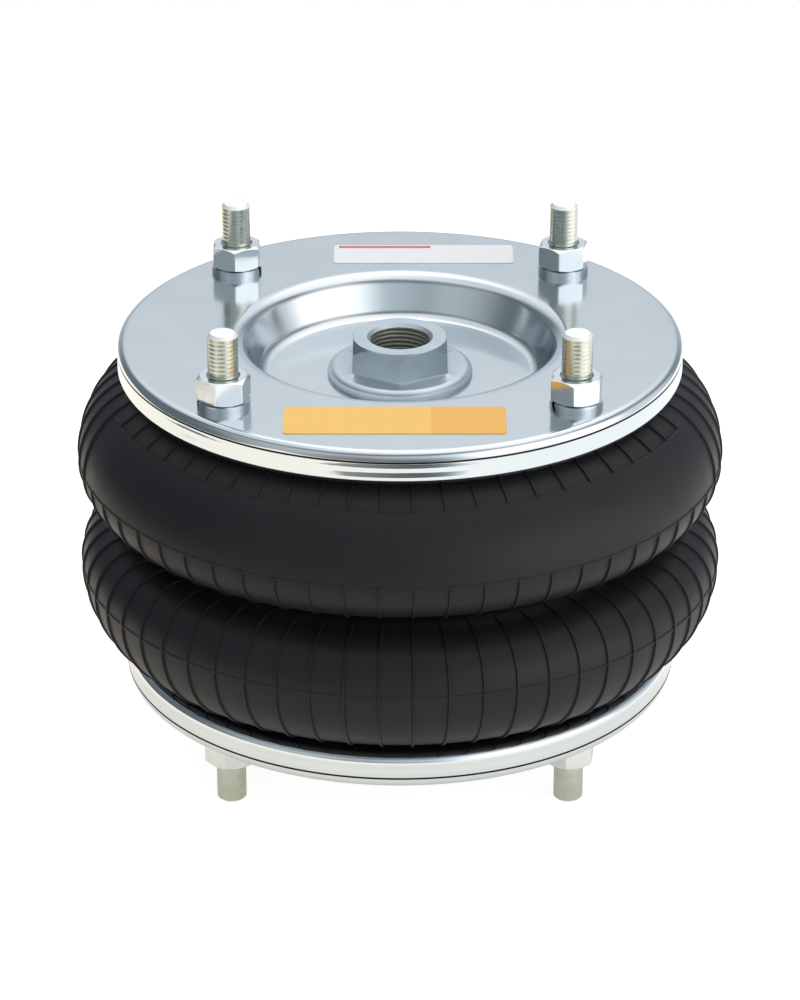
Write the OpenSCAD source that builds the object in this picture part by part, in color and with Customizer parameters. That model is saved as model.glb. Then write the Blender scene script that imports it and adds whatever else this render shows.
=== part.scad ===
// Air bellows actuator: a two-convolution rubber bellows crimped between two steel bead plates.
// The Z axis is the stroke axis, the tips of the lower studs lie at z = 0, and the front faces -Y.

/* [Bead plates] */
// Outside diameter of each bead plate
plate_d = 229; // [215:1:245]
// Thickness of the plate sheet
plate_t = 3; // [2:0.5:3.5]
// Depth of the crimped rim, from the plate's face to the underside of its lip
rim_h = 14.5; // [13:0.5:16]
// Distance from the plate's edge to the tip of the lip that is curled under the bead
lip_reach = 12.5; // [11:0.5:12.5]
// Width of the flat land between the plate's edge and the dish
land_w = 46.5; // [34:0.5:50]
// Depth of the dish in the middle of the plate
dish_depth = 17; // [13:0.5:22]
// Lean of the dish's wall, in degrees from upright
dish_lean = 23; // [10:1:35]
// Bend radius at the foot of the dish's wall
dish_foot_r = 5.5; // [3:0.5:7]
// Distance from the plate's face to the rolled groove around the rim
groove_at = 4.3; // [4:0.1:6]

/* [Bellows] */
// Height between the two plates' faces at rest
height = 146; // [136:1:160]
// How far the convolutions stand out past the plates' edge
bulge = 16.75; // [13:0.25:20]
// Thickness of the rubber wall
wall_t = 5.5; // [4:0.5:7]
// Thickness of the rubber neck inside the lip
neck_t = 5; // [4:0.25:5.25]
// Wire diameter of the girdle hoop
hoop_wire = 8; // [6:0.5:10]
// Distance from the plates' edge in to the middle of the hoop's wire
hoop_inset = 15.5; // [12:0.5:18]
// Wire diameter of the bead cores
bead_wire = 4.4; // [3:0.2:5]
// Number of upright ribs around each convolution
ribs = 30; // [20:2:60]
// Height of those ribs
rib_h = 0.8; // [0.4:0.1:1]

/* [Studs, nuts and washers] */
// Thread diameter of the studs
stud_d = 12; // [10:1:12]
// Length of each stud above the plate's face
stud_len = 30; // [24:1:45]
// Distance from the plate's edge in to the stud circle
stud_inset = 17.5; // [15:0.5:26]
// Width of the nuts across their flats
nut_af = 19; // [18:1:22]
// Height of the nuts
nut_h = 9.8; // [7:0.1:11]
// Outside diameter of the split washers
washer_d = 21; // [18:0.5:24]
// Thickness of the split washers
washer_t = 2.5; // [1.5:0.25:3.5]

/* [Air port] */
// Bore of the port's thread
port_bore = 24.2; // [14:0.1:26]
// Width of the port's hexagon across its flats
port_af = 38; // [34:1:46]
// Diameter of the collar under the hexagon
collar_d = 59; // [54:1:66]
// Thickness of that collar
collar_t = 4; // [2:0.5:6]
// How far the hexagon's top lies below the plate's face
port_below = 1; // [0.5:0.5:3]

/* [Labels] */
// Width of the front label
front_label_w = 86; // [40:1:88]
// Depth of the front label
front_label_h = 25; // [10:1:27]
// Width of the rear label
rear_label_w = 76; // [40:1:84]
// Depth of the rear label
rear_label_h = 20; // [10:1:25]
// Thickness of both labels
label_t = 0.25; // [0.15:0.05:0.5]

/* [Hidden] */
$fn = 96;
arc_steps = 10;
zinc = "#bfcad4";
steel = "#9aa2a8";
rubber = "#232326";
corners = ["front_left", "front_right", "rear_left", "rear_right"];
// Side of each corner along X and Y, and how far its nut and its washer's split happen to be turned
corner_x = [-1, 1, -1, 1];
corner_y = [-1, -1, 1, 1];
nut_turn = [-104, -98, -92, -102];
split_turn = [200, -150, -20, 160];

// Heights along the stroke axis
base_face = stud_len;
middle = base_face + height / 2;
top_face = base_face + height;

// Bead plates, as radii and as depths below the plate's face
plate_r = plate_d / 2;
dish_mouth_r = plate_r - land_w;
shoulder_r = plate_t + 3.5;
curl_r = plate_t + 1;
wall_top_r = dish_mouth_r - shoulder_r * cos(dish_lean);
wall_drop = dish_depth - (shoulder_r + dish_foot_r) * (1 - sin(dish_lean));
floor_r = wall_top_r - wall_drop * tan(dish_lean) - dish_foot_r * cos(dish_lean);
lip_end_r = plate_r - lip_reach + plate_t / 2;
groove_r = 0.8;
groove_cut = 0.5;

// Bellows, with heights counted from the middle
gap = 0.3;
neck_r = plate_r - 18.1;
bellows_r = plate_r + bulge;
upper_arc = bellows_r - neck_r;
equator_z = height / 2 - rim_h - upper_arc;
hoop_r = plate_r - hoop_inset;
waist_arc = hoop_wire / 2 + 0.1;
lower_arc = equator_z - waist_arc;
bead_out_r = plate_r - plate_t - gap;
bead_top = height / 2 - plate_t;
bead_foot = height / 2 - rim_h + plate_t;
bead_chamfer = 1.5;
bead_wire_r = plate_r - plate_t - 4.75;
bead_wire_z = (bead_top + bead_foot) / 2;
lobe_r = bellows_r - lower_arc;
rib_turn = 0.32;
first_rib = 2.4;
// Turns along the arcs between which the ribs run, and between which the panel in front is smooth
rib_foot = 276;
rib_end = 74;
panel_foot = 358;
panel_end = 50.5;
panel_half = 70;

// Fasteners, with the engaged thread drawn at its pitch diameter
stud_x = (plate_r - stud_inset) / sqrt(2);
stud_r = stud_d / 2;
thread_r = stud_r - 0.57;
seat_depth = plate_t / 2;
stack = washer_t + nut_h;
tip_chamfer = 1.2;
washer_bore = stud_d + 0.3;
split_w = 2;
split_lean = 20;

// Air port
port_h = dish_depth - collar_t - port_below;
spigot_r = port_bore / 2 + 3;
mouth_chamfer = 1.3;
collar_round = 0.8 * collar_t;

// Labels, a step out from the dish's mouth
front_label_x = -2;
front_label_y = -(dish_mouth_r + 4);
rear_label_x = 10;
rear_label_y = dish_mouth_r + 7.5;

// Band between two arcs about one centre, from one angle to another, up to half a turn
module arc_band(centre, inner, outer, from, to) {
    reach = 2 * outer;
    half_way = (from + to) / 2;
    wedge = [for (a = [from, half_way, to]) reach * [cos(a), sin(a)]];
    translate(centre) intersection() {
        difference() {
            circle(outer);
            if (inner > 0) circle(inner);
        }
        polygon(concat([[0, 0]], wedge));
    }
}

// Points along an arc, from one angle to another
function arc(centre, r, from, to) =
    [for (i = [0:arc_steps]) let (a = from + (to - from) * i / arc_steps) centre + r * [cos(a), sin(a)]];

// Half section of a bead plate, with depth counted upwards from the plate's face
module plate_section(hole_r) {
    shoulder = [dish_mouth_r, shoulder_r];
    foot = [floor_r, dish_depth - dish_foot_r];
    overlap_r = dish_mouth_r + 2;
    polygon(concat(
        [[hole_r, dish_depth]],
        arc(foot, dish_foot_r, 90, dish_lean),
        arc(shoulder, shoulder_r, 180 + dish_lean, 270),
        [[overlap_r, 0], [overlap_r, plate_t]],
        arc(shoulder, shoulder_r - plate_t, 270, 180 + dish_lean),
        arc(foot, dish_foot_r + plate_t, dish_lean, 90),
        [[hole_r, dish_depth + plate_t]]
    ));
    translate([dish_mouth_r, 0]) square([land_w - plate_t, plate_t]);
    difference() {
        rim_section();
        translate([plate_r + groove_r - groove_cut, groove_at]) circle(groove_r);
    }
}

// The plate's edge, turned down and curled under the bead
module rim_section() {
    arc_band([plate_r - plate_t, plate_t], 0, plate_t, 270, 360);
    translate([plate_r - plate_t, plate_t]) square([plate_t, rim_h - plate_t - curl_r]);
    arc_band([plate_r - curl_r, rim_h - curl_r], curl_r - plate_t, curl_r, 0, 90);
    translate([lip_end_r, rim_h - plate_t]) square([plate_r - curl_r - lip_end_r, plate_t]);
    arc_band([lip_end_r, rim_h - plate_t / 2], 0, plate_t / 2, 90, 270);
}

// Pressed plate, face down at z = 0, with shallow seats that the studs are welded into
module bead_plate(hole_r) {
    difference() {
        rotate_extrude() plate_section(hole_r);
        for (i = [0:3]) translate([corner_x[i] * stud_x, corner_y[i] * stud_x, -1])
            cylinder(r = stud_r + 0.1, h = seat_depth + 1);
    }
}

// Places its children on the lower plate's face, pointing down
module on_base() {
    translate([0, 0, base_face]) mirror([0, 0, 1]) children();
}

// Places its children on the upper plate's face, pointing up
module on_top() {
    translate([0, 0, top_face]) children();
}

// Places its children at one corner of the stud square
module at_corner(i) {
    translate([corner_x[i] * stud_x, corner_y[i] * stud_x, 0]) children();
}

module bottom_bead_plate() {
    color(zinc) translate([0, 0, base_face]) bead_plate(0);
}

module top_bead_plate() {
    color(zinc) translate([0, 0, top_face]) mirror([0, 0, 1]) bead_plate(spigot_r + 0.1);
}

// Upper half of the bellows wall: bead, neck, shoulder arc, lower arc and flank
module convolution_section() {
    neck_foot = equator_z + upper_arc - wall_t / 2;
    difference() {
        polygon([
            [neck_r, bead_foot],
            [bead_out_r - bead_chamfer, bead_foot],
            [bead_out_r, bead_foot + bead_chamfer],
            [bead_out_r, bead_top - bead_chamfer],
            [bead_out_r - bead_chamfer, bead_top],
            [neck_r, bead_top]
        ]);
        translate([bead_wire_r, bead_wire_z]) circle(bead_wire / 2 + gap);
    }
    translate([neck_r, neck_foot]) square([neck_t, bead_wire_z - neck_foot]);
    arc_band([neck_r, equator_z], upper_arc - wall_t, upper_arc, 0, 90);
    arc_band([lobe_r, equator_z], lower_arc - wall_t, lower_arc, 270, 360);
    translate([hoop_r, waist_arc]) square([lobe_r - hoop_r, wall_t]);
}

// Rib along the upper convolution's outside, rooted in the wall, with a gap where the smooth panel is
module rib_section(on_panel) {
    root = wall_t / 2;
    arc_band([neck_r, equator_z], upper_arc - root, upper_arc + rib_h, on_panel ? panel_end : 0, rib_end);
    arc_band([lobe_r, equator_z], lower_arc - root, lower_arc + rib_h, rib_foot,
        on_panel ? panel_foot : 360);
}

module rib(on_panel) {
    rotate(-rib_turn / 2) rotate_extrude(angle = rib_turn) rib_section(on_panel);
}

module bellows() {
    color(rubber) translate([0, 0, middle]) {
        rotate_extrude() {
            convolution_section();
            mirror([0, 1]) convolution_section();
            arc_band([hoop_r, 0], waist_arc, waist_arc + wall_t, 90, 270);
        }
        for (i = [0:ribs - 1]) let (turn = first_rib + 360 * i / ribs) rotate(turn - 90) {
            rib(min(turn, 360 - turn) < panel_half);
            mirror([0, 0, 1]) rib(false);
        }
    }
}

// Round wire bent into a closed ring
module wire_ring(ring_r, wire) {
    rotate_extrude() translate([ring_r, 0]) circle(wire / 2);
}

module girdle_hoop() {
    color(steel) translate([0, 0, middle]) wire_ring(hoop_r, hoop_wire);
}

module bottom_bead_wire() {
    color(steel) translate([0, 0, middle - bead_wire_z]) wire_ring(bead_wire_r, bead_wire);
}

module top_bead_wire() {
    color(steel) translate([0, 0, middle + bead_wire_z]) wire_ring(bead_wire_r, bead_wire);
}

// Threaded stud, welded into its seat, with a free end past the nut and a bevelled tip
module stud() {
    color(steel) rotate_extrude() polygon([
        [0, -seat_depth],
        [stud_r, -seat_depth],
        [stud_r, 0],
        [thread_r, 0],
        [thread_r, stack],
        [stud_r, stack],
        [stud_r, stud_len - tip_chamfer],
        [stud_r - tip_chamfer, stud_len],
        [0, stud_len]
    ]);
}

// Hexagon from z = 0, with its corners bevelled at the top and, if asked, at the foot
module bevelled_hexagon(af, h, foot_bevel) {
    face_r = 0.96 * af / 2;
    past_corner = af / sqrt(3) + 1;
    bevel = (past_corner - face_r) * tan(30);
    intersection() {
        cylinder(r = af / sqrt(3), h = h, $fn = 6);
        rotate_extrude() polygon([
            [0, 0],
            [foot_bevel ? face_r : past_corner, 0],
            [past_corner, foot_bevel ? bevel : 0],
            [past_corner, h - bevel],
            [face_r, h],
            [0, h]
        ]);
    }
}

module nut(turn) {
    color(zinc) translate([0, 0, washer_t]) difference() {
        rotate(turn) bevelled_hexagon(nut_af, nut_h, true);
        translate([0, 0, -1]) cylinder(r = thread_r + 0.05, h = nut_h + 2);
    }
}

// Spring washer with a slanted split
module split_washer(turn) {
    color(steel) rotate(turn) difference() {
        cylinder(d = washer_d, h = washer_t);
        translate([0, 0, -1]) cylinder(d = washer_bore, h = washer_t + 2);
        translate([0, 0, washer_t / 2]) rotate([split_lean, 0, 0])
            translate([0, -split_w / 2, -2 * washer_t]) cube([washer_d, split_w, 4 * washer_t]);
    }
}

// Weld-in boss: spigot through the dish's floor, rounded collar, and hexagon with the threaded port
module air_port() {
    collar_r = collar_d / 2;
    color(zinc) on_top() translate([0, 0, -dish_depth]) difference() {
        union() {
            translate([0, 0, -plate_t]) cylinder(r = spigot_r, h = plate_t + collar_t / 2);
            rotate_extrude() {
                square([collar_r - collar_round, collar_t]);
                translate([collar_r - collar_round, 0]) square([collar_round, collar_t - collar_round]);
                arc_band([collar_r - collar_round, collar_t - collar_round], 0, collar_round, 0, 90);
            }
            translate([0, 0, collar_t]) rotate(30) bevelled_hexagon(port_af, port_h, false);
        }
        translate([0, 0, -plate_t - 1]) cylinder(d = port_bore, h = dish_depth + plate_t + 2);
        translate([0, 0, collar_t + port_h - mouth_chamfer])
            cylinder(r1 = port_bore / 2, r2 = port_bore / 2 + mouth_chamfer, h = mouth_chamfer);
    }
}

module front_label() {
    color("#f2b53c") on_top() translate([front_label_x - front_label_w / 2, front_label_y - front_label_h, 0])
        cube([front_label_w, front_label_h, label_t]);
}

module rear_label() {
    color("#eceef0") on_top() translate([rear_label_x - rear_label_w / 2, rear_label_y, 0])
        cube([rear_label_w, rear_label_h, label_t]);
}

bottom_bead_plate();
top_bead_plate();
bellows();
girdle_hoop();
bottom_bead_wire();
top_bead_wire();
air_port();
front_label();
rear_label();
for (i = [0:3]) {
    on_base() at_corner(i) stud();
    on_base() at_corner(i) split_washer(split_turn[i]);
    on_base() at_corner(i) nut(nut_turn[i]);
    on_top() at_corner(i) stud();
    on_top() at_corner(i) split_washer(split_turn[i]);
    on_top() at_corner(i) nut(nut_turn[i]);
}
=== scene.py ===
"""Air bellows actuator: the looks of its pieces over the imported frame, in a plain studio."""

import math

import bmesh
import bpy
import numpy as np
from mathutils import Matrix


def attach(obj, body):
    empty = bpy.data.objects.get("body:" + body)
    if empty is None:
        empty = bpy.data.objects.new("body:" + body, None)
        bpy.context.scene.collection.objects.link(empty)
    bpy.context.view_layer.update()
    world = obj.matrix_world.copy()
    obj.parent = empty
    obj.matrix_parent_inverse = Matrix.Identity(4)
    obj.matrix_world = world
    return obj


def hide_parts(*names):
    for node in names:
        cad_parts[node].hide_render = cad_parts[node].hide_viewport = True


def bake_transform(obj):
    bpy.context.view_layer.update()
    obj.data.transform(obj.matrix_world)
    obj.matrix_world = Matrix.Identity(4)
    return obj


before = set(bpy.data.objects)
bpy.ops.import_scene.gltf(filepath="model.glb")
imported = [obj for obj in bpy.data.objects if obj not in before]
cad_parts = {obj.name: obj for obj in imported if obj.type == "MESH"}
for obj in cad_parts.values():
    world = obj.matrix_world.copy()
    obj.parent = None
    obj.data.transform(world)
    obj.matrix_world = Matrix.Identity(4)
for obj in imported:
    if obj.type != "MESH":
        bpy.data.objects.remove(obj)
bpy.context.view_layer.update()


# Bead plates: two round sheets of steel, deep drawn with a dish in the middle and then zinc plated. The rim
# of each is turned over the bellows' bead and curled in under it, with one groove rolled around it.
MM = 0.001
BASE_FACE = 30
TOP_FACE = 176
PLATE_R = 114.5
SHEET_T = 3
RIM_H = 14.5
CURL_R = 4
EDGE_R = 3
RIM_LEAN = 5
LIP_TIP_R = 103.5
RIM_STEP = 0.07
GROOVE_AT = 4.3
GROOVE_HALF = 0.42
GROOVE_CUT = 0.8
GROOVE_LIP = 1.3
BAND_END = 6.4
SWELL_AT = 8.3
SWELL = 0.08
DISH_MOUTH_R = 68
DISH_DEPTH = 17
DISH_LEAN = 23
DISH_FOOT_R = 5.5
SHOULDER_R = 6.5
FLOOR_R = 52.84
PORT_HOLE_R = 15.2
PLATE_COLUMNS = 288
EDGE_LOOP = 0.5
BEND_LOOP = 0.25
MERGE = 0.001


def srgb(code):
    """Linear colour of an sRGB hex code."""
    parts = [int(code[i:i + 2], 16) / 255 for i in (1, 3, 5)]
    return (*[p / 12.92 if p <= 0.04045 else ((p + 0.055) / 1.055) ** 2.4 for p in parts], 1.0)


def add(tree, kind, inputs=None, **settings):
    """Adds a node to a tree, with its settings, and its inputs as values or links."""
    node = tree.nodes.new(kind)
    for name, value in settings.items():
        setattr(node, name, value)
    for key, value in (inputs or {}).items():
        if isinstance(value, bpy.types.NodeSocket):
            tree.links.new(value, node.inputs[key])
        else:
            node.inputs[key].default_value = value
    return node


def material(name, metallic=0.0):
    """New material, with its node tree, its shader and the piece's own coordinates."""
    made = bpy.data.materials.new(name)
    made.use_nodes = True
    tree = made.node_tree
    shader = tree.nodes["Principled BSDF"]
    shader.inputs["Metallic"].default_value = metallic
    return made, tree, shader, add(tree, "ShaderNodeTexCoord").outputs["Object"]


def arc(centre, radius, start, end, steps):
    """Points along an arc, as radius and height, from one angle to another."""
    turns = np.radians(np.linspace(start, end, steps + 1))
    return [(centre[0] + radius * math.cos(t), centre[1] + radius * math.sin(t)) for t in turns]


def lathe(name, radius, height, angles, sharp, closed=True):
    """Piece from rows of radius and height in mm, with a column for each angle from the front."""
    rows, columns = radius.shape
    turn = np.radians(angles)
    points = np.stack([radius * np.sin(turn), -radius * np.cos(turn), height], axis=-1) * MM
    row, column = np.meshgrid(np.arange(rows if closed else rows - 1), np.arange(columns), indexing="ij")
    above = (row + 1) % rows
    beside = (column + 1) % columns
    corners = [
        row * columns + column, row * columns + beside,
        above * columns + beside, above * columns + column,
    ]
    mesh = bpy.data.meshes.new(name)
    mesh.from_pydata(points.reshape(-1, 3).tolist(), [], np.stack(corners, axis=-1).reshape(-1, 4).tolist())
    if not closed:
        shape = bmesh.new()
        shape.from_mesh(mesh)
        bmesh.ops.remove_doubles(shape, verts=shape.verts, dist=MERGE * MM)
        shape.to_mesh(mesh)
        shape.free()
    mesh.shade_smooth()
    mesh.set_sharp_from_angle(angle=math.radians(sharp))
    piece = bpy.data.objects.new(name, mesh)
    bpy.context.scene.collection.objects.link(piece)
    return piece


def crisp(points, hold):
    """Points of a broken line, with one more on either side of each bend to keep it crisp."""
    path = [points[0]]
    for before, bend, after in zip(points, points[1:], points[2:]):
        for end in (before, bend, after):
            share = hold / math.dist(bend, end) if end != bend else 0
            path.append((bend[0] + (end[0] - bend[0]) * share, bend[1] + (end[1] - bend[1]) * share))
    return path


def plate_section(hole_r):
    """Half section of a plate, as radius and depth behind its face."""
    foot = (FLOOR_R, DISH_DEPTH - DISH_FOOT_R)
    shoulder = (DISH_MOUTH_R, SHOULDER_R)
    curl = (PLATE_R + SWELL - CURL_R, RIM_H - CURL_R)
    curled = arc(curl, CURL_R, 0, 90, 10)
    groove = [(-GROOVE_LIP, 0), (-1, 0), (-0.6, 0.8), (0, 1), (0.6, 0.8), (1, 0)]
    band_r = PLATE_R - RIM_STEP
    edge_r = band_r - EDGE_R - (GROOVE_AT - GROOVE_HALF - EDGE_R) * math.tan(math.radians(RIM_LEAN))
    return (
        [(hole_r, DISH_DEPTH), (FLOOR_R - EDGE_LOOP, DISH_DEPTH)]
        + arc(foot, DISH_FOOT_R, 90, DISH_LEAN, 10)
        + arc(shoulder, SHOULDER_R, 180 + DISH_LEAN, 270, 12)
        + [(DISH_MOUTH_R + EDGE_LOOP, 0), (edge_r - EDGE_LOOP, 0)]
        + arc((edge_r, EDGE_R), EDGE_R, 270, 360 - RIM_LEAN, 10)
        + [(band_r - cut * GROOVE_CUT, GROOVE_AT + along * GROOVE_HALF) for along, cut in groove]
        + crisp([(band_r, GROOVE_AT + GROOVE_LIP * GROOVE_HALF), (PLATE_R, BAND_END), (PLATE_R, SWELL_AT),
                 curled[0], curled[1]], BEND_LOOP)
        + curled[1:]
        + arc((LIP_TIP_R, RIM_H - SHEET_T / 2), SHEET_T / 2, 90, 270, 8)
        + arc(curl, CURL_R - SHEET_T, 90, 0, 4)
        + [(PLATE_R - SHEET_T, SHEET_T), (DISH_MOUTH_R + EDGE_LOOP, SHEET_T)]
        + arc(shoulder, SHOULDER_R - SHEET_T, 270, 180 + DISH_LEAN, 6)
        + arc(foot, DISH_FOOT_R + SHEET_T, DISH_LEAN, 90, 8)
        + [(hole_r, DISH_DEPTH + SHEET_T)]
    )


# Bright zinc on drawn sheet: a clean, faintly blue mirror, clouded by the bath and a little wavy from the
# press. The rollers that crimp the rim burnish it, so it mirrors the room more sharply than the face does.
BATH_CLOUD = 26
PRESS_WAVE = 9
PRESS_DEPTH = 0.03
BURNISHED = (111.5, 113.5)
BURNISH = 0.35
plate_zinc, tree, shader, here = material("bright_zinc_on_drawn_sheet", metallic=1.0)
cloud = add(tree, "ShaderNodeTexNoise", {"Vector": here, "Scale": 1 / (BATH_CLOUD * MM), "Detail": 4.0})
tint = add(tree, "ShaderNodeMix", {0: cloud.outputs["Fac"], 6: srgb("#c6cfd5"), 7: srgb("#ced6db")},
           data_type="RGBA")
haze = add(tree, "ShaderNodeMapRange", {"Value": cloud.outputs["Fac"], "From Min": 0.3, "From Max": 0.7,
                                        "To Min": 0.12, "To Max": 0.19})
in_plan = add(tree, "ShaderNodeVectorMath", {0: here, 1: (1, 1, 0)}, operation="MULTIPLY")
reach = add(tree, "ShaderNodeVectorMath", {0: in_plan.outputs[0]}, operation="LENGTH")
rolled = add(tree, "ShaderNodeMapRange", {"Value": reach.outputs["Value"], "From Min": BURNISHED[0] * MM,
                                          "From Max": BURNISHED[1] * MM, "To Min": 1.0, "To Max": BURNISH})
haze = add(tree, "ShaderNodeMath", {0: haze.outputs["Result"], 1: rolled.outputs["Result"]},
           operation="MULTIPLY")
wave = add(tree, "ShaderNodeTexNoise", {"Vector": here, "Scale": 1 / (PRESS_WAVE * MM), "Detail": 2.0})
relief = add(tree, "ShaderNodeBump", {"Height": wave.outputs["Fac"], "Distance": PRESS_DEPTH * MM})
tree.links.new(tint.outputs[2], shader.inputs["Base Color"])
tree.links.new(haze.outputs[0], shader.inputs["Roughness"])
tree.links.new(relief.outputs["Normal"], shader.inputs["Normal"])

# Painted shade: a near-black, faintly brown colour laid in the rolled groove, standing in for the shade that
# falls in it
SHADE_MOTTLE = 5
groove_shade, tree, shader, here = material("painted_groove_shade")
groove_mottle = add(tree, "ShaderNodeTexNoise", {"Vector": here, "Scale": 1 / (SHADE_MOTTLE * MM), "Detail": 2.0})
tint = add(tree, "ShaderNodeMix", {0: groove_mottle.outputs["Fac"], 6: srgb("#120e0a"), 7: srgb("#2e2416")},
           data_type="RGBA")
shader.inputs["Roughness"].default_value = 0.5
tree.links.new(tint.outputs[2], shader.inputs["Base Color"])

plate_angles = np.arange(PLATE_COLUMNS) * 360 / PLATE_COLUMNS
for name, node, body, hole_r, face, way in (
    ("lower_plate", "bottom_bead_plate", "base", 0, BASE_FACE, 1),
    ("upper_plate", "top_bead_plate", "top", PORT_HOLE_R, TOP_FACE, -1),
):
    section = np.array(plate_section(hole_r))[::way]
    rows = np.ones((1, PLATE_COLUMNS))
    plate = lathe(name, section[:, :1] * rows, (face + way * section[:, 1:]) * rows, plate_angles,
                  sharp=40, closed=hole_r > 0)
    plate.data.materials.append(plate_zinc)
    plate.data.materials.append(groove_shade)
    # Faces in the rim's rolled groove take the painted groove shade
    for side in plate.data.polygons:
        x, y, z = side.center / MM
        in_groove = abs(abs(z - face) - GROOVE_AT) < GROOVE_HALF
        side.material_index = int(in_groove and math.hypot(x, y) > PLATE_R - SHEET_T / 2)
    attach(plate, body)
    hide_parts(node)


# Wires: a ring of drawn steel inside each bead, which the curled rim grips, and a heavier hoop that lies in
# the bellows' waist and holds it in. All three are bare, hard drawn and butt welded.
DRAW_MARK = 1.5
DRAW_DEPTH = 0.02
wire_steel, tree, shader, here = material("hard_drawn_steel_wire", metallic=1.0)
marks = add(tree, "ShaderNodeTexNoise", {"Vector": here, "Scale": 1 / (DRAW_MARK * MM), "Detail": 3.0})
tint = add(tree, "ShaderNodeMix", {0: marks.outputs["Fac"], 6: srgb("#7d8286"), 7: srgb("#a7abad")},
           data_type="RGBA")
relief = add(tree, "ShaderNodeBump", {"Height": marks.outputs["Fac"], "Distance": DRAW_DEPTH * MM})
shader.inputs["Roughness"].default_value = 0.38
tree.links.new(tint.outputs[2], shader.inputs["Base Color"])
tree.links.new(relief.outputs["Normal"], shader.inputs["Normal"])
for node in ("bottom_bead_wire", "top_bead_wire", "girdle_hoop"):
    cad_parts[node].material_slots[0].material = wire_steel


# Bellows: one moulding of black rubber over fabric plies, with a bead at each end and a waist between its
# two lobes. The mould leaves fine upright ribs, a raised line round each lobe, and a smooth panel on the
# front of the upper one.
MIDDLE = 103
NECK_R = 96.4
NECK_OUT_R = 101.4
WALL_T = 5.5
UPPER_ARC = 34.85
LOWER_ARC = 19.55
EQUATOR_Z = 23.65
LOBE_R = 111.7
HOOP_R = 99
WAIST_ARC = 4.1
NECK_TURN = 81.75
BEAD_R = 111.2
BEAD_FOOT = 61.5
BEAD_TOP = 70
BEAD_BEVEL = 1.5
RIBS = 60
FIRST_RIB = 2.4
RIB_H = 0.8
RIB_COLUMNS = (-3, -1.5, -0.6, -0.27, -0.16, 0.16, 0.27, 0.6, 1.5)
RIB_SHARE = (0, 0, 0, 0, 1, 1, 0, 0, 0)
RIB_FADE = 8
LINE_H = 0.45
LINE_TURN = 0.95
PANEL_HALF = 70
PANEL_TOP_TURN = 50.5


def lobe_rows():
    """Rows up a lobe's outside and down its inside: radius, height, and shares of rib, lines and panel."""
    rows = [(r, z, 0, 0, 0, 0) for r, z in arc((HOOP_R, 0), WAIST_ARC, 180, 90, 6)]
    for r in np.linspace(HOOP_R, LOBE_R, 8)[1:-1]:
        rows.append((r, WAIST_ARC, (r - HOOP_R) / (LOBE_R - HOOP_R), 0, 0, 0))
    for turn in (*np.linspace(270, 354, 22), 356.5, 358.2, 359.1):
        r, z = arc((LOBE_R, EQUATOR_Z), LOWER_ARC, turn, turn, 0)[0]
        rows.append((r, z, 1, 1 if turn > 360 - LINE_TURN else 0, 0, 0))
    panel_edge = PANEL_TOP_TURN + np.array([-1.0, -0.5, 0.5, 1.0])
    turns = [0, 0.5, 1.0, *np.linspace(3, PANEL_TOP_TURN - 3, 19), *panel_edge]
    turns += list(np.linspace(PANEL_TOP_TURN + 3, NECK_TURN, 13))
    for turn in turns:
        r, z = arc((NECK_R, EQUATOR_Z), UPPER_ARC, turn, turn, 0)[0]
        rib = min(1, max(0, (NECK_TURN - turn) / RIB_FADE))
        line = 1 if turn < LINE_TURN else 0
        border = 1 if abs(turn - PANEL_TOP_TURN) < LINE_TURN else 0
        smooth = 1 if LINE_TURN < turn < PANEL_TOP_TURN - LINE_TURN else 0
        rows.append((r, z, rib, line, border, smooth))
    inside = [
        (NECK_OUT_R, BEAD_FOOT), (BEAD_R - BEAD_BEVEL, BEAD_FOOT), (BEAD_R, BEAD_FOOT + BEAD_BEVEL),
        (BEAD_R, BEAD_TOP - BEAD_BEVEL), (BEAD_R - BEAD_BEVEL, BEAD_TOP), (NECK_R, BEAD_TOP),
        *arc((NECK_R, EQUATOR_Z), UPPER_ARC - WALL_T, 90, 0, 16),
        *arc((LOBE_R, EQUATOR_Z), LOWER_ARC - WALL_T, 360, 270, 10)[1:],
        *arc((HOOP_R, 0), WAIST_ARC + WALL_T, 90, 180, 8),
    ]
    return np.array(rows + [(r, z, 0, 0, 0, 0) for r, z in inside], dtype=float)


# Satin moulded rubber: nearly black, with a soft grey sheen where light grazes the fine moulded grain
BLOOM = 22
MOULD_GRAIN = 0.7
GRAIN_DEPTH = 0.03
rubber, tree, shader, here = material("satin_moulded_black_rubber")
bloom = add(tree, "ShaderNodeTexNoise", {"Vector": here, "Scale": 1 / (BLOOM * MM), "Detail": 4.0})
tint = add(tree, "ShaderNodeMix", {0: bloom.outputs["Fac"], 6: srgb("#1d1d20"), 7: srgb("#26262a")},
           data_type="RGBA")
satin = add(tree, "ShaderNodeMapRange", {"Value": bloom.outputs["Fac"], "From Min": 0.3, "From Max": 0.7,
                                         "To Min": 0.42, "To Max": 0.52})
grain = add(tree, "ShaderNodeTexNoise", {"Vector": here, "Scale": 1 / (MOULD_GRAIN * MM), "Detail": 2.0})
relief = add(tree, "ShaderNodeBump", {"Height": grain.outputs["Fac"], "Distance": GRAIN_DEPTH * MM})
tree.links.new(tint.outputs[2], shader.inputs["Base Color"])
shader.inputs["Specular IOR Level"].default_value = 0.2
tree.links.new(satin.outputs["Result"], shader.inputs["Roughness"])
tree.links.new(relief.outputs["Normal"], shader.inputs["Normal"])

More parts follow.
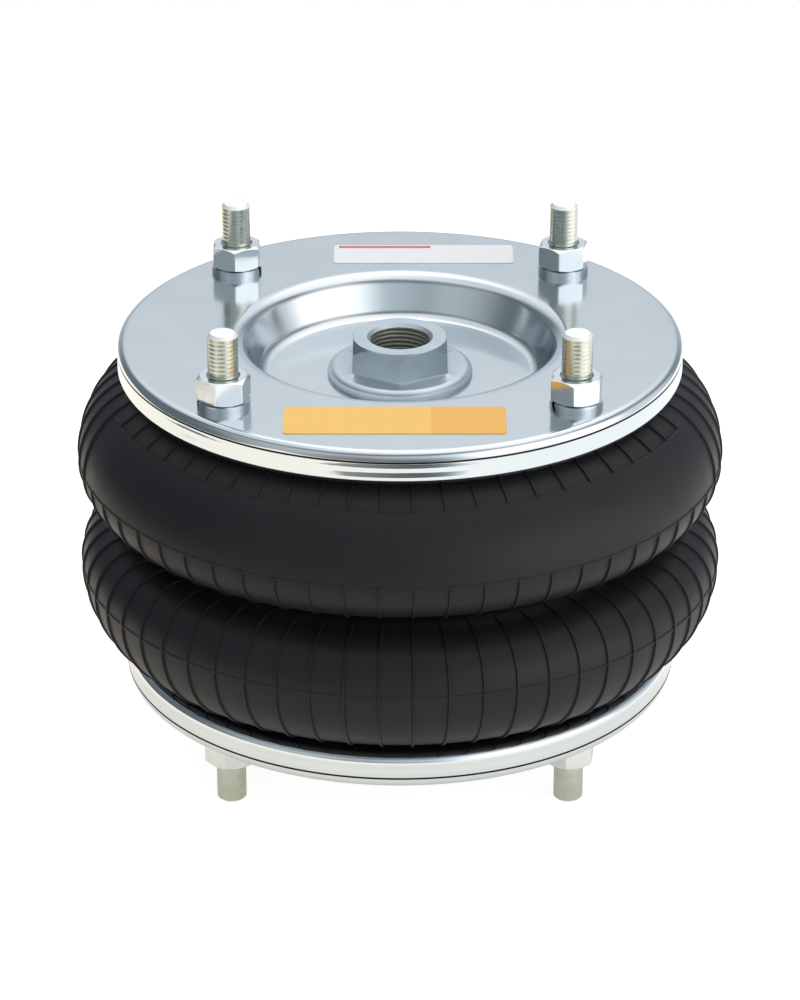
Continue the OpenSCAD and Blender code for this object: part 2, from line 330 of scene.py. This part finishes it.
rows = lobe_rows()
ahead = np.roll(rows[:, :2], -1, axis=0) - np.roll(rows[:, :2], 1, axis=0)
outward = np.stack([ahead[:, 1], -ahead[:, 0]], axis=1) / np.linalg.norm(ahead, axis=1)[:, None]
rib_angles = FIRST_RIB + 360 / RIBS * np.arange(RIBS)
angles = (rib_angles[:, None] + np.array(RIB_COLUMNS)).ravel()
rib_share = np.tile(RIB_SHARE, RIBS)
rib_place = np.repeat((rib_angles + 180) % 360 - 180, len(RIB_COLUMNS))
for name, lower_body, upper_body, way in (
    ("bellows_lower_lobe", "base", "girdle", -1),
    ("bellows_upper_lobe", "girdle", "top", 1),
):
    panel = (np.abs(rib_place) < PANEL_HALF) * (way > 0)
    lift = np.maximum.reduce([
        RIB_H * rows[:, 2:3] * rib_share * (1 - rows[:, 5:6] * panel),
        LINE_H * rows[:, 3:4] * np.ones_like(panel),
        LINE_H * rows[:, 4:5] * panel,
    ])
    radius = rows[:, :1] + lift * outward[:, :1]
    height = MIDDLE + way * (rows[:, 1:2] + lift * outward[:, 1:])
    lobe = lathe(name, radius[::way], height[::way], angles, sharp=40)
    lobe.data.materials.append(rubber)
    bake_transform(lobe)
    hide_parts("bellows")


# Air port: a boss turned from hexagon bar, with a round collar and a spigot that is welded into the dish's
# floor. Its bore has a pipe thread for the air fitting.
PORT_AF = 38
PORT_TOP = -1
PORT_FACE_R = 19.2
PORT_BEVEL = 50
PORT_CORNER_R = 0.8
PORT_EASE = 0.25
FOOT_FILLET = ((0.9, 0), (0.3, 0.25), (0, 0.9))
COLLAR_R = 29.5
COLLAR_T = 4
COLLAR_ROUND = 3.2
SPIGOT_R = 15.1
BORE_R = 12.1
MOUTH_BEVEL = 1.3
PIPE_PITCH = 1.814
PIPE_THREAD = 0.15
THREAD_FLAT = 0.125
THREAD_ROWS = 8
FLAT_TILT = 0.69
FLAT_FROM_R = 18.5
HEX_FLAT = (-24, -18, -12, -6, 0, 6, 12, 18, 24)


def hexagon(across_flats, corner_r, first_corner):
    """Angles from the front and radii around a hexagon with slightly rounded corners."""
    angles = []
    radii = []
    reach = (across_flats / 2 - corner_r) / math.cos(math.radians(30))
    for corner in range(6):
        place = first_corner + 60 * corner
        for turn in np.radians(np.linspace(-30, 30, 7)):
            x = reach + corner_r * math.cos(turn)
            y = corner_r * math.sin(turn)
            angles.append(place + math.degrees(math.atan2(y, x)))
            radii.append(math.hypot(x, y))
        for turn in HEX_FLAT:
            angles.append(place + 30 + turn)
            radii.append(across_flats / 2 / math.cos(math.radians(turn)))
    return np.array(angles), np.array(radii)


def thread(height, angles, pitch, hand=1):
    """Depth of a screw thread, from 0 at its crest to 1 at its root."""
    phase = (height / pitch - hand * angles / 360) % 1
    return np.clip((1 + 2 * THREAD_FLAT) * (1 - np.abs(2 * phase - 1)) - THREAD_FLAT, 0, 1)


# Bright zinc on turned steel: pale and softly shining, crossed by fine tool rings
PORT_CLOUD = 8
TOOL_RING = 0.6
TOOL_DEPTH = 0.01
WAVE_RADIANS = 20
port_zinc, tree, shader, here = material("bright_zinc_on_turned_steel", metallic=1.0)
cloud = add(tree, "ShaderNodeTexNoise", {"Vector": here, "Scale": 1 / (PORT_CLOUD * MM), "Detail": 3.0})
tint = add(tree, "ShaderNodeMix", {0: cloud.outputs["Fac"], 6: srgb("#b1bec6"), 7: srgb("#c5d0d7")},
           data_type="RGBA")
ring_scale = 2 * math.pi / (WAVE_RADIANS * TOOL_RING * MM)
rings = add(tree, "ShaderNodeTexWave", {"Vector": here, "Scale": ring_scale, "Distortion": 1.0},
            wave_type="RINGS", rings_direction="Z")
relief = add(tree, "ShaderNodeBump", {"Height": rings.outputs["Fac"], "Distance": TOOL_DEPTH * MM})
shader.inputs["Roughness"].default_value = 0.38
tree.links.new(tint.outputs[2], shader.inputs["Base Color"])
tree.links.new(relief.outputs["Normal"], shader.inputs["Normal"])

# Zinc on drawn bar: the hexagon's flats are duller than the turned faces; their darker colour is painted
# shade, laid on the bevel too
BAR_CLOUD = 5
flat_zinc_painted_shade, tree, shader, here = material("zinc_on_drawn_bar_and_painted_shade", metallic=1.0)
cloud = add(tree, "ShaderNodeTexNoise", {"Vector": here, "Scale": 1 / (BAR_CLOUD * MM), "Detail": 3.0})
tint = add(tree, "ShaderNodeMix", {0: cloud.outputs["Fac"], 6: srgb("#94a1a8"), 7: srgb("#a6b2b8")},
           data_type="RGBA")
shader.inputs["Roughness"].default_value = 0.3
tree.links.new(tint.outputs[2], shader.inputs["Base Color"])

# Zinc on cut thread: dull and olive, because little plating reaches into the bore
BORE_CLOUD = 4
bore_zinc, tree, shader, here = material("zinc_on_cut_thread", metallic=1.0)
cloud = add(tree, "ShaderNodeTexNoise", {"Vector": here, "Scale": 1 / (BORE_CLOUD * MM), "Detail": 3.0})
tint = add(tree, "ShaderNodeMix", {0: cloud.outputs["Fac"], 6: srgb("#bfc1b6"), 7: srgb("#d8d9d0")},
           data_type="RGBA")
shader.inputs["Roughness"].default_value = 0.45
tree.links.new(tint.outputs[2], shader.inputs["Base Color"])

angles, corner = hexagon(PORT_AF, PORT_CORNER_R, first_corner=0)
flat = np.ones_like(angles)
floor_z = -DISH_DEPTH
collar_top = floor_z + COLLAR_T
face_edge = np.minimum(corner, PORT_FACE_R)
side_top = PORT_TOP - PORT_EASE - (corner - face_edge) * math.tan(math.radians(PORT_BEVEL))
rings = [(SPIGOT_R * flat, (floor_z - SHEET_T) * flat), (SPIGOT_R * flat, floor_z * flat)]
rings.append((COLLAR_R * flat, floor_z * flat))
for r, z in arc((COLLAR_R - COLLAR_ROUND, collar_top - COLLAR_ROUND), COLLAR_ROUND, 0, 90, 6):
    rings.append((r * flat, z * flat))
for out, up in FOOT_FILLET:
    rings.append((corner + out, (collar_top + up) * flat))
rings += [(corner, side_top), (face_edge - PORT_EASE, PORT_TOP * flat)]
rings.append(((BORE_R + MOUTH_BEVEL) * flat, PORT_TOP * flat))
bore_top = PORT_TOP - MOUTH_BEVEL
for z in np.arange(bore_top, floor_z - SHEET_T, -PIPE_PITCH / THREAD_ROWS):
    fade = min(1, (bore_top - z) / PIPE_PITCH)
    rings.append((BORE_R + PIPE_THREAD * fade * thread(z, angles, PIPE_PITCH), z * flat))
rings.append((BORE_R * flat, (floor_z - SHEET_T) * flat))
radius = np.array([r for r, z in rings])
height = TOP_FACE + np.array([z for r, z in rings])
port = lathe("port_boss", radius, height, angles, sharp=28)
port.data.materials.append(port_zinc)
port.data.materials.append(flat_zinc_painted_shade)
port.data.materials.append(bore_zinc)
# Faces that tilt away from the top, the flats and the bevel, take the darker zinc: painted shade
for face in port.data.polygons:
    reach = face.center.xy.length / MM
    above_collar = face.center.z / MM > TOP_FACE + collar_top
    if above_collar and face.normal.z < FLAT_TILT and reach > FLAT_FROM_R:
        face.material_index = 1
    elif reach < BORE_R + PIPE_THREAD:
        face.material_index = 2
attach(port, "top")
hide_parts("air_port")


# Studs: M12 threaded rod, four on each plate, welded into seats in the sheet and zinc plated with it. Each
# has a bevelled tip and stands clear of its nut for the machine's own plate and nut.
CORNERS = {"front_left": (-1, -1), "front_right": (1, -1), "rear_left": (-1, 1), "rear_right": (1, 1)}
STUD_X = 68.589
STUD_R = 6
STUD_LEN = 30
ENGAGED_R = 5.43
NUT_FOOT = 2.5
NUT_TOP = 12.3
TIP_BEVEL = 1.2
STUD_PITCH = 1.75
STUD_THREAD = 0.035
STUD_STEP = 9.0
FREE_GAP = 0.1

# Zinc on rolled thread: dull silver with a greenish cast, in clouds where the plating is thinner
STUD_CLOUD = 4
stud_zinc, tree, shader, here = material("zinc_on_rolled_thread", metallic=1.0)
cloud = add(tree, "ShaderNodeTexNoise", {"Vector": here, "Scale": 1 / (STUD_CLOUD * MM), "Detail": 3.0})
tint = add(tree, "ShaderNodeMix", {0: cloud.outputs["Fac"], 6: srgb("#b2b8ae"), 7: srgb("#cfd3c9")},
           data_type="RGBA")
haze = add(tree, "ShaderNodeMapRange", {"Value": cloud.outputs["Fac"], "From Min": 0.3, "From Max": 0.7,
                                        "To Min": 0.2, "To Max": 0.32})
tree.links.new(tint.outputs[2], shader.inputs["Base Color"])
tree.links.new(haze.outputs["Result"], shader.inputs["Roughness"])

# Zinc on a sheared end: matt, so the rough face gathers light from all over the room; its nearly white
# colour is a painted highlight
SHEAR_GRAIN = 2
painted_highlight_end_zinc, tree, shader, here = material("zinc_on_sheared_end_painted_highlight", metallic=1.0)
cloud = add(tree, "ShaderNodeTexNoise", {"Vector": here, "Scale": 1 / (SHEAR_GRAIN * MM), "Detail": 3.0})
tint = add(tree, "ShaderNodeMix", {0: cloud.outputs["Fac"], 6: srgb("#eceeed"), 7: srgb("#fafbfa")},
           data_type="RGBA")
shader.inputs["Roughness"].default_value = 0.6
tree.links.new(tint.outputs[2], shader.inputs["Base Color"])

angles = np.arange(0, 360, STUD_STEP)
flat = np.ones_like(angles)
for side, body, face, way in (("bottom", "base", BASE_FACE, -1), ("top", "top", TOP_FACE, 1)):
    rings = [(0 * flat, 0 * flat), (ENGAGED_R * flat, 0 * flat), (ENGAGED_R * flat, NUT_TOP * flat)]
    for z in np.arange(NUT_TOP + FREE_GAP, STUD_LEN - TIP_BEVEL, STUD_PITCH / THREAD_ROWS):
        fade = min(1, (STUD_LEN - TIP_BEVEL - z) / STUD_PITCH)
        rings.append((STUD_R - STUD_THREAD * fade * thread(z, angles, STUD_PITCH, hand=way), z * flat))
    rings.append((STUD_R * flat, (STUD_LEN - TIP_BEVEL) * flat))
    rings.append(((STUD_R - TIP_BEVEL) * flat, STUD_LEN * flat))
    rings.append((0 * flat, STUD_LEN * flat))
    radius = np.array([r for r, z in rings])[::way]
    height = face + way * np.array([z for r, z in rings])[::way]
    for corner, (x, y) in CORNERS.items():
        stud = lathe(f"stud_{side}_{corner}", radius, height, angles, sharp=40, closed=False)
        for point in stud.data.vertices:
            point.co.x += x * STUD_X * MM
            point.co.y += y * STUD_X * MM
        stud.data.materials.append(stud_zinc)
        stud.data.materials.append(painted_highlight_end_zinc)
        # The tip's end face takes the paler zinc, a painted highlight
        for part in stud.data.polygons:
            if abs(part.center.z / MM - face) > STUD_LEN - TIP_BEVEL:
                part.material_index = 1
        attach(stud, body)
        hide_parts(f"{side}_stud_{corner}")


# Spring washers: one under each nut, wound from square wire and cut with a slanted split, zinc plated.
# They lie flat, because the nuts are tight.

# Zinc on spring steel: bright, and uneven from the coiling, so that it glints
COIL_MARK = 3
COIL_DEPTH = 0.08
washer_zinc, tree, shader, here = material("zinc_on_spring_steel", metallic=1.0)
cloud = add(tree, "ShaderNodeTexNoise", {"Vector": here, "Scale": 1 / (COIL_MARK * MM), "Detail": 3.0})
tint = add(tree, "ShaderNodeMix", {0: cloud.outputs["Fac"], 6: srgb("#bcc5ca"), 7: srgb("#e4e9ec")},
           data_type="RGBA")
relief = add(tree, "ShaderNodeBump", {"Height": cloud.outputs["Fac"], "Distance": COIL_DEPTH * MM})
shader.inputs["Roughness"].default_value = 0.2
tree.links.new(tint.outputs[2], shader.inputs["Base Color"])
tree.links.new(relief.outputs["Normal"], shader.inputs["Normal"])
for side in ("bottom", "top"):
    for corner in CORNERS:
        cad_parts[f"{side}_washer_{corner}"].material_slots[0].material = washer_zinc


# Nuts: M12 hexagon nuts, cold forged, with both ends bevelled at 30 degrees, bright zinc plated. Each is
# turned as far as its own thread ran when it was tightened.
NUT_AF = 19
NUT_FACE_R = 9.12
NUT_CORNER_R = 0.45
NUT_BEVEL = 30
NUT_BORE_R = 5.48
NUT_SINK_R = 6.7
NUT_TURN = {"front_left": -14, "front_right": -8, "rear_left": -2, "rear_right": -12}

# Bright zinc on forged steel: close to a mirror, with faint bruises from the press
BRUISE = 5
BRUISE_DEPTH = 0.02
nut_zinc, tree, shader, here = material("bright_zinc_on_forged_steel", metallic=1.0)
cloud = add(tree, "ShaderNodeTexNoise", {"Vector": here, "Scale": 1 / (BRUISE * MM), "Detail": 3.0})
tint = add(tree, "ShaderNodeMix", {0: cloud.outputs["Fac"], 6: srgb("#d3dade"), 7: srgb("#e3e8ea")},
           data_type="RGBA")
haze = add(tree, "ShaderNodeMapRange", {"Value": cloud.outputs["Fac"], "From Min": 0.3, "From Max": 0.7,
                                        "To Min": 0.13, "To Max": 0.2})
relief = add(tree, "ShaderNodeBump", {"Height": cloud.outputs["Fac"], "Distance": BRUISE_DEPTH * MM})
tree.links.new(tint.outputs[2], shader.inputs["Base Color"])
tree.links.new(haze.outputs["Result"], shader.inputs["Roughness"])
tree.links.new(relief.outputs["Normal"], shader.inputs["Normal"])

for side, body, face, way in (("bottom", "base", BASE_FACE, -1), ("top", "top", TOP_FACE, 1)):
    for corner, (x, y) in CORNERS.items():
        angles, outline = hexagon(NUT_AF, NUT_CORNER_R, NUT_TURN[corner])
        flat = np.ones_like(angles)
        bevel = np.maximum(0, outline - NUT_FACE_R) * math.tan(math.radians(NUT_BEVEL))
        rings = [
            (NUT_BORE_R * flat, NUT_FOOT * flat), (NUT_FACE_R * flat, NUT_FOOT * flat),
            (outline, NUT_FOOT + bevel), (outline, NUT_TOP - bevel),
            (NUT_FACE_R * flat, NUT_TOP * flat), (NUT_SINK_R * flat, NUT_TOP * flat),
            (NUT_BORE_R * flat, (NUT_TOP - NUT_SINK_R + NUT_BORE_R) * flat),
        ]
        radius = np.array([r for r, z in rings])[::way]
        height = face + way * np.array([z for r, z in rings])[::way]
        nut = lathe(f"nut_{side}_{corner}", radius, height, angles, sharp=25)
        for point in nut.data.vertices:
            point.co.x += x * STUD_X * MM
            point.co.y += y * STUD_X * MM
        nut.data.materials.append(nut_zinc)
        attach(nut, body)
        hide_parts(f"{side}_nut_{corner}")


# Labels: two pieces of printed polyester film with rounded corners, stuck to the upper plate's land.
# The front one is amber in two fields, the rear one is white with a short red band.
FILM_T = 0.25
FILM_CORNER = 1.5
FRONT_FILM = (-45, -97, 41, -72)
REAR_FILM = (-28, 75.5, 48, 95.5)
FRONT_FIELD = (12, -97, 41, -72)
REAR_FIELD = (-26, 92, 13, 94.5)


def film(name, node, slot, left, front, right, back):
    """Thin sheet with rounded corners, lying on the upper plate."""
    outline = []
    for x, y, start in ((right, back, 0), (left, back, 90), (left, front, 180), (right, front, 270)):
        centre = (x - FILM_CORNER * (1 if x == right else -1), y - FILM_CORNER * (1 if y == back else -1))
        outline += arc(centre, FILM_CORNER, start, start + 90, 6)
    count = len(outline)
    points = [(x * MM, y * MM, (TOP_FACE + z) * MM) for z in (0, FILM_T) for x, y in outline]
    faces = [list(range(count, 2 * count)), list(range(count))[::-1]]
    faces += [(i, (i + 1) % count, count + (i + 1) % count, count + i) for i in range(count)]
    mesh = bpy.data.meshes.new(name)
    mesh.from_pydata(points, [], faces)
    piece = bpy.data.objects.new(name, mesh)
    bpy.context.scene.collection.objects.link(piece)
    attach(piece, "top")
    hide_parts(node)
    return piece


# Printed polyester film: even colour under a smooth clear coat, with the faint mottle of the ink
INK_MOTTLE = 3
for name, node, slot, edges, field, ground, print_ink in (
    ("label_front", "front_label", "yellow_label", FRONT_FILM, FRONT_FIELD, "#f9c555", "#f4b545"),
    ("label_rear", "rear_label", "white_label", REAR_FILM, REAR_FIELD, "#eceef1", "#d9595a"),
):
    made, tree, shader, here = material(f"printed_polyester_film_{slot}")
    place = add(tree, "ShaderNodeSeparateXYZ", {0: here})
    left, front, right, back = [edge * MM for edge in field]
    across = add(tree, "ShaderNodeMath",
                 {0: place.outputs["X"], 1: (left + right) / 2, 2: (right - left) / 2}, operation="COMPARE")
    along = add(tree, "ShaderNodeMath",
                {0: place.outputs["Y"], 1: (front + back) / 2, 2: (back - front) / 2}, operation="COMPARE")
    inside = add(tree, "ShaderNodeMath", {0: across.outputs[0], 1: along.outputs[0]}, operation="MULTIPLY")
    colour = add(tree, "ShaderNodeMix", {0: inside.outputs[0], 6: srgb(ground), 7: srgb(print_ink)},
                 data_type="RGBA")
    ink = add(tree, "ShaderNodeTexNoise", {"Vector": here, "Scale": 1 / (INK_MOTTLE * MM), "Detail": 2.0})
    tone = add(tree, "ShaderNodeMapRange", {"Value": ink.outputs["Fac"], "To Min": 0.94, "To Max": 1.04})
    shade = add(tree, "ShaderNodeVectorMath", {0: colour.outputs[2], "Scale": tone.outputs["Result"]},
                operation="SCALE")
    tree.links.new(shade.outputs[0], shader.inputs["Base Color"])
    shader.inputs["Roughness"].default_value = 0.3
    film(name, node, slot, *edges).data.materials.append(made)


# Studio: a sheet of pale paper with straight edges, shaded under the part, in a dim, faintly blue room. The
# glow that the paper shows in reflections carries a painted shadow under the part and a painted tint, cream
# on the left and white on the right. A wide bank of light and a small soft box hang overhead, and soft
# panels stand around, the brightest of them low on the right. The camera stands a little above the part, in
# front of it.
PAPER_SHEET = (-500, -500, 540, 600)
PAPER = (0.5, 0.49, 0.47, 1)
PAPER_SEEN = (0.82, 0.82, 0.82, 1)
PAINTED_REFLECTION_LEFT = (1.0, 0.88, 0.7, 1)
PAINTED_REFLECTION_RIGHT = (0.94, 0.93, 0.88, 1)
TONE_HALF = 300
PAINTED_SHADOW_REACH = (80, 210)
PAINTED_SHADOW_LEVEL = 0.5
ROOM_LIGHT = (0.63, 0.75, 0.83)
WALL_ACROSS = (-1.0, 0.4)
WALL_TONE = (0.27, 0.46)
GLOOM_RISE = (0.46, 0.58)
GLOOM = 0.3
PIT_AT = (-9, -20)
PIT_EDGE = (0.83, 0.96)
PIT = 0.3
BANK_LIGHT = (0.81, 0.83, 0.84)
BANK_AT = (180, 74)
BANK_EDGE = (0.53, 0.79)
WIDE = 0.72
NARROW = 0.9
# Each panel's azimuth from the front, its rise, the cosine at which it fades out, and its light
PANELS = (
    (-35, -12, WIDE, (0.3, 0.27, 0.25)),
    (60, -12, WIDE, (1.4, 1.3, 1.28)),
    (100, -12, WIDE, (0.75, 0.69, 0.68)),
    (180, -12, WIDE, (0.41, 0.43, 0.5)),
    (-50, 14, WIDE, (0.16, 0.16, 0.16)),
    (20, 14, WIDE, (0.46, 0.48, 0.49)),
    (55, 14, WIDE, (1.08, 1.0, 0.95)),
    (-45, 42, WIDE, (0.22, 0.23, 0.23)),
    (180, 42, WIDE, (0.23, 0.2, 0.18)),
    (120, 70, WIDE, (0.64, 0.56, 0.52)),
    (180, 58, NARROW, (0.6, 0.6, 0.6)),
)
CAMERA_AIM = 101.35
CAMERA_RISE = 25.69
CAMERA_AWAY = 1613.2
SENSOR_H = 36
FOCAL = 140.5

floor_mesh = bpy.data.meshes.new("floor")
left, front, right, rear = [edge * MM for edge in PAPER_SHEET]
corners = [(left, front, 0), (right, front, 0), (right, rear, 0), (left, rear, 0)]
floor_mesh.from_pydata(corners, [], [(0, 1, 2, 3)])
floor = bpy.data.objects.new("floor", floor_mesh)
bpy.context.scene.collection.objects.link(floor)
paper, tree, shader, here = material("white_studio_paper")
tree.nodes.remove(shader)
path = add(tree, "ShaderNodeLightPath")
seen = add(tree, "ShaderNodeMath", {0: path.outputs["Is Camera Ray"], 1: path.outputs["Is Glossy Ray"]},
           operation="MAXIMUM")
seen = add(tree, "ShaderNodeMath", {0: seen.outputs[0], 1: path.outputs["Is Transmission Ray"]},
           operation="MAXIMUM")
lit = add(tree, "ShaderNodeBsdfDiffuse", {"Color": PAPER})
across = add(tree, "ShaderNodeSeparateXYZ", {0: here})
# Painted reflection: the glow that only reflections see runs from cream on the left to white on the right
side = add(tree, "ShaderNodeMapRange",
           {"Value": across.outputs["X"], "From Min": -TONE_HALF * MM, "From Max": TONE_HALF * MM})
mirrored = add(tree, "ShaderNodeMix", {0: side.outputs["Result"], 6: PAINTED_REFLECTION_LEFT, 7: PAINTED_REFLECTION_RIGHT},
               data_type="RGBA")
# Painted shadow: the glow that reflections see is darkened near the part
reach = add(tree, "ShaderNodeVectorMath", {0: here}, operation="LENGTH")
painted_shadow = add(tree, "ShaderNodeMapRange", {"Value": reach.outputs["Value"], "From Min": PAINTED_SHADOW_REACH[0] * MM,
                                          "From Max": PAINTED_SHADOW_REACH[1] * MM, "To Min": PAINTED_SHADOW_LEVEL, "To Max": 1.0})
mirrored = add(tree, "ShaderNodeVectorMath", {0: mirrored.outputs[2], "Scale": painted_shadow.outputs["Result"]},
               operation="SCALE")
glow_tone = add(tree, "ShaderNodeMix",
                 {0: path.outputs["Is Camera Ray"], 6: mirrored.outputs[0], 7: PAPER_SEEN}, data_type="RGBA")
glow = add(tree, "ShaderNodeEmission", {"Color": glow_tone.outputs[2], "Strength": 1.0})
both = add(tree, "ShaderNodeAddShader", {0: lit.outputs[0], 1: glow.outputs[0]})
pick = add(tree, "ShaderNodeMixShader", {0: seen.outputs[0], 1: lit.outputs[0], 2: both.outputs[0]})
tree.links.new(pick.outputs[0], tree.nodes["Material Output"].inputs["Surface"])
floor_mesh.materials.append(paper)


def towards(azimuth, rise):
    """Unit vector to a place in the studio, by its azimuth from the front and its rise."""
    a = math.radians(azimuth)
    e = math.radians(rise)
    return (math.cos(e) * math.sin(a), -math.cos(e) * math.cos(a), math.sin(e))


world = bpy.data.worlds.new("soft_dome")
world.use_nodes = True
bpy.context.scene.world = world
tree = world.node_tree
tree.nodes.clear()
path = add(tree, "ShaderNodeLightPath")
ray = add(tree, "ShaderNodeTexCoord").outputs["Generated"]
place = add(tree, "ShaderNodeSeparateXYZ", {0: ray})
wall = add(tree, "ShaderNodeMapRange",
           {"Value": place.outputs["X"], "From Min": WALL_ACROSS[0], "From Max": WALL_ACROSS[1],
            "To Min": WALL_TONE[0], "To Max": WALL_TONE[1]})
gloom = add(tree, "ShaderNodeMapRange",
            {"Value": place.outputs["Z"], "From Min": GLOOM_RISE[0], "From Max": GLOOM_RISE[1],
             "To Min": 1.0, "To Max": GLOOM}, interpolation_type="SMOOTHSTEP")
below = add(tree, "ShaderNodeVectorMath", {0: ray, 1: towards(*PIT_AT)}, operation="DOT_PRODUCT")
pit = add(tree, "ShaderNodeMapRange",
          {"Value": below.outputs["Value"], "From Min": PIT_EDGE[0], "From Max": PIT_EDGE[1],
           "To Min": 1.0, "To Max": PIT}, interpolation_type="SMOOTHSTEP")
room = add(tree, "ShaderNodeMath", {0: wall.outputs["Result"], 1: gloom.outputs["Result"]},
           operation="MULTIPLY")
room = add(tree, "ShaderNodeMath", {0: room.outputs[0], 1: pit.outputs["Result"]}, operation="MULTIPLY")
light = add(tree, "ShaderNodeVectorMath", {0: room.outputs[0], 1: ROOM_LIGHT}, operation="MULTIPLY")
above = add(tree, "ShaderNodeVectorMath", {0: ray, 1: towards(*BANK_AT)}, operation="DOT_PRODUCT")
bank = add(tree, "ShaderNodeMapRange",
           {"Value": above.outputs["Value"], "From Min": BANK_EDGE[0], "From Max": BANK_EDGE[1]},
           interpolation_type="SMOOTHSTEP")
light = add(tree, "ShaderNodeVectorMath", {0: bank.outputs["Result"], 1: BANK_LIGHT, 2: light.outputs[0]},
            operation="MULTIPLY_ADD")
for azimuth, rise, edge, panel_light in PANELS:
    facing = add(tree, "ShaderNodeVectorMath", {0: ray, 1: towards(azimuth, rise)}, operation="DOT_PRODUCT")
    panel = add(tree, "ShaderNodeMapRange", {"Value": facing.outputs["Value"], "From Min": edge},
                interpolation_type="SMOOTHSTEP")
    light = add(tree, "ShaderNodeVectorMath",
                {0: panel.outputs["Result"], 1: panel_light, 2: light.outputs[0]}, operation="MULTIPLY_ADD")
soft = add(tree, "ShaderNodeBackground", {"Color": light.outputs[0], "Strength": 1.0})
white = add(tree, "ShaderNodeBackground", {"Color": (1, 1, 1, 1), "Strength": 1.0})
pick = add(tree, "ShaderNodeMixShader",
           {0: path.outputs["Is Camera Ray"], 1: soft.outputs[0], 2: white.outputs[0]})
add(tree, "ShaderNodeOutputWorld", {"Surface": pick.outputs[0]})

lens = bpy.data.cameras.new("camera")
lens.sensor_fit = "VERTICAL"
lens.sensor_height = SENSOR_H
lens.lens = FOCAL
camera = bpy.data.objects.new("camera", lens)
bpy.context.scene.collection.objects.link(camera)
rise = math.radians(CAMERA_RISE)
camera.location = (0, -CAMERA_AWAY * math.cos(rise) * MM, (CAMERA_AIM + CAMERA_AWAY * math.sin(rise)) * MM)
camera.rotation_euler = (math.pi / 2 - rise, 0, 0)
bpy.context.scene.camera = camera
bpy.context.scene.view_settings.view_transform = "Standard"
